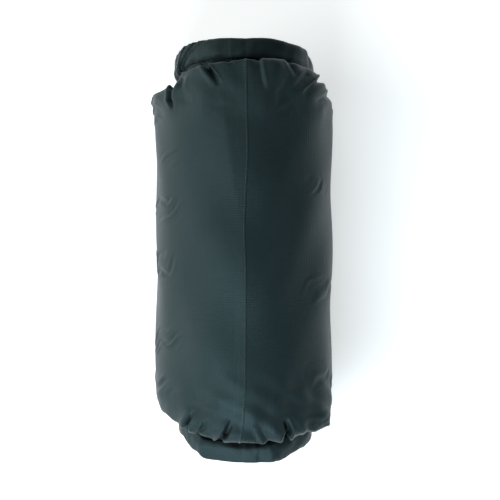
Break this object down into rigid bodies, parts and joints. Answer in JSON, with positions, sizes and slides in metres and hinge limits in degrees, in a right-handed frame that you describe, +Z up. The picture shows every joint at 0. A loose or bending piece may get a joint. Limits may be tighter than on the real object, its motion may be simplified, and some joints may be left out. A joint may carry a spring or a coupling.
{
  "type": "compression sack",
  "caption": "Stuffed tubular roll-closure sack for bedding or clothes, rolled up and buckled into a loop at both ends, lying on its front.",
  "frame": {"origin": "middle of the flat that the sack rests on, halfway between its two ends", "axes": "+Y along the sack towards the head closure, +Z up from the front it lies on to its sewn back, +X across"},
  "size_m": [0.19, 0.4622, 0.1828],
  "materials": {
    "cloth": "coated ripstop nylon, dark green-black, satin",
    "wadding": "compressed bedding, matte",
    "sealing_tape": "heat-sealed tape, translucent satin",
    "thread": "bonded polyester thread",
    "strip_plastic": "extruded polyethylene strip",
    "webbing": "woven nylon webbing, black",
    "buckle_plastic": "moulded acetal, fine spark texture"
  },
  "bodies": {
    "sack": {"sack_panel": "cloth", "packed_load": "wadding", "seam_tape": "sealing_tape", "seam_thread": "thread"},
    "head_closure": {"head_roll_fabric": "cloth", "head_stiffener": "strip_plastic", "head_hem_tape": "webbing", "head_socket_tab": "webbing", "head_plug_tab": "webbing", "head_socket_tack": "thread", "head_plug_tack": "thread", "head_buckle_socket": "buckle_plastic"},
    "head_plug": {"head_buckle_plug": "buckle_plastic"},
    "head_latch_out": {"head_latch_outer": "buckle_plastic"},
    "head_latch_in": {"head_latch_inner": "buckle_plastic"},
    "foot_closure": {"foot_roll_fabric": "cloth", "foot_stiffener": "strip_plastic", "foot_hem_tape": "webbing", "foot_socket_tab": "webbing", "foot_plug_tab": "webbing", "foot_socket_tack": "thread", "foot_plug_tack": "thread", "foot_buckle_socket": "buckle_plastic"},
    "foot_plug": {"foot_buckle_plug": "buckle_plastic"},
    "foot_latch_out": {"foot_latch_outer": "buckle_plastic"},
    "foot_latch_in": {"foot_latch_inner": "buckle_plastic"}
  },
  "joints": [
    {"name": "head_closure_swing", "type": "hinge", "parent": "sack", "child": "head_closure", "pos_m": [0, 0.20764, 0.1495], "axis": [1, 0, 0], "range_deg": [0, 20]},
    {"name": "head_plug_pull", "type": "slide", "parent": "head_closure", "child": "head_plug", "axis": [1, 0, 0], "range_m": [0, 0.024], "deforming": ["head_plug_tab", "head_latch_outer", "head_latch_inner"]},
    {"name": "head_latch_press", "type": "hinge", "parent": "head_plug", "child": "head_latch_out", "pos_m": [-0.0032, 0.20128, 0.02815], "axis": [0, 0.225, 0.9744], "range_deg": [0, 9], "stiffness_Nm_per_rad": 0.3, "deforming": ["head_latch_outer"]},
    {"name": "head_latch_press_inner", "type": "hinge", "parent": "head_plug", "child": "head_latch_in", "pos_m": [-0.0032, 0.18452, 0.03202], "axis": [0, -0.225, -0.9744], "range_deg": [0, 9], "stiffness_Nm_per_rad": 0.3, "deforming": ["head_latch_inner"]},
    {"name": "foot_closure_swing", "type": "hinge", "parent": "sack", "child": "foot_closure", "pos_m": [0, -0.20764, 0.1495], "axis": [-1, 0, 0], "range_deg": [0, 20]},
    {"name": "foot_plug_pull", "type": "slide", "parent": "foot_closure", "child": "foot_plug", "axis": [-1, 0, 0], "range_m": [0, 0.024], "deforming": ["foot_plug_tab", "foot_latch_outer", "foot_latch_inner"]},
    {"name": "foot_latch_press", "type": "hinge", "parent": "foot_plug", "child": "foot_latch_out", "pos_m": [0.0032, -0.20128, 0.02815], "axis": [0, -0.225, 0.9744], "range_deg": [0, 9], "stiffness_Nm_per_rad": 0.3, "deforming": ["foot_latch_outer"]},
    {"name": "foot_latch_press_inner", "type": "hinge", "parent": "foot_plug", "child": "foot_latch_in", "pos_m": [0.0032, -0.18452, 0.03202], "axis": [0, 0.225, -0.9744], "range_deg": [0, 9], "stiffness_Nm_per_rad": 0.3, "deforming": ["foot_latch_inner"]}
  ],
  "couplings": [
    {"joint": "head_latch_press_inner", "follows": "head_latch_press", "ratio": 1},
    {"joint": "foot_latch_press_inner", "follows": "foot_latch_press", "ratio": 1}
  ]
}
